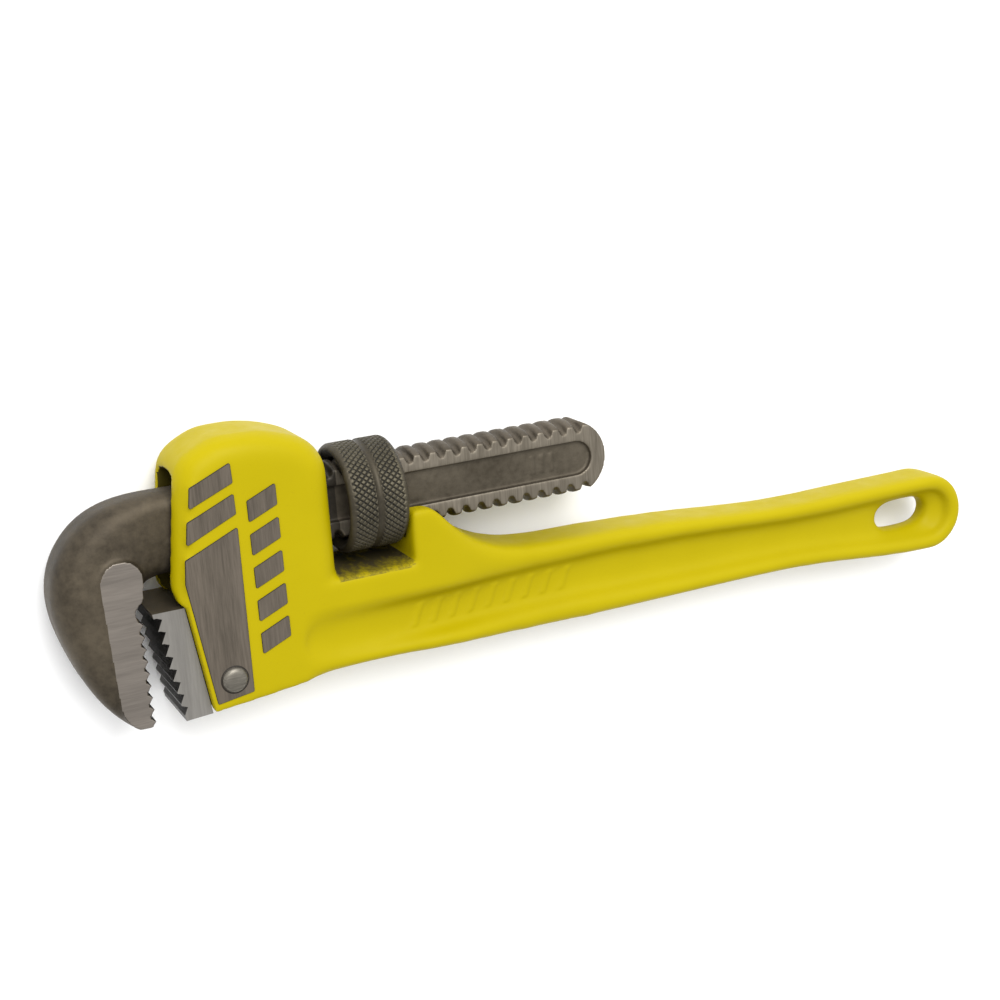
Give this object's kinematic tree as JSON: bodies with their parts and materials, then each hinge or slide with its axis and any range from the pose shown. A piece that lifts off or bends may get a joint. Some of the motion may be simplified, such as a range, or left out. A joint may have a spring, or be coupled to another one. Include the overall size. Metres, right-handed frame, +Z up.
{
  "type": "pipe wrench",
  "caption": "Adjustable pipe wrench: cast yellow handle, toothed heel and hook jaws, knurled nut on a threaded flat shank.",
  "frame": {"origin": "centre of the wrench's box at its lowest point, lying on its side", "axes": "+X along the handle towards its end, +Y from the handle towards the housing crown, +Z up across the thickness"},
  "size_m": [0.3102, 0.082, 0.0325],
  "materials": {
    "yellow_paint": "semi-gloss",
    "forged_steel": "satin",
    "jaw_steel": "satin",
    "rivet_steel": "satin",
    "nut_steel": "satin",
    "spring_steel": "satin"
  },
  "bodies": {
    "handle_body": {"handle": "yellow_paint", "heel_jaw": "jaw_steel", "heel_jaw_pin": "rivet_steel", "spring_pin": "rivet_steel", "coil_spring": "spring_steel"},
    "rocker": {"flat_spring": "spring_steel"},
    "adjusting_nut": {"nut": "nut_steel"},
    "hook": {"hook_jaw": "forged_steel"}
  },
  "joints": [
    {"name": "jaw_rock", "type": "hinge", "parent": "handle_body", "child": "rocker", "pos_m": [-0.0794, 0.02913, 0.01625], "axis": [0, 0, 1], "range_deg": [-1.5, 1]},
    {"name": "nut_spin", "type": "hinge", "parent": "rocker", "child": "adjusting_nut", "pos_m": [-0.0614, 0.01473, 0.01625], "axis": [1, 0, 0], "range_deg": [-57, 3154]},
    {"name": "jaw_travel", "type": "slide", "parent": "rocker", "child": "hook", "axis": [1, 0, 0], "range_m": [-0.0445, 0.0008]}
  ],
  "couplings": [
    {"joint": "nut_spin", "follows": "jaw_travel", "rad_per_m": -1236.8}
  ]
}
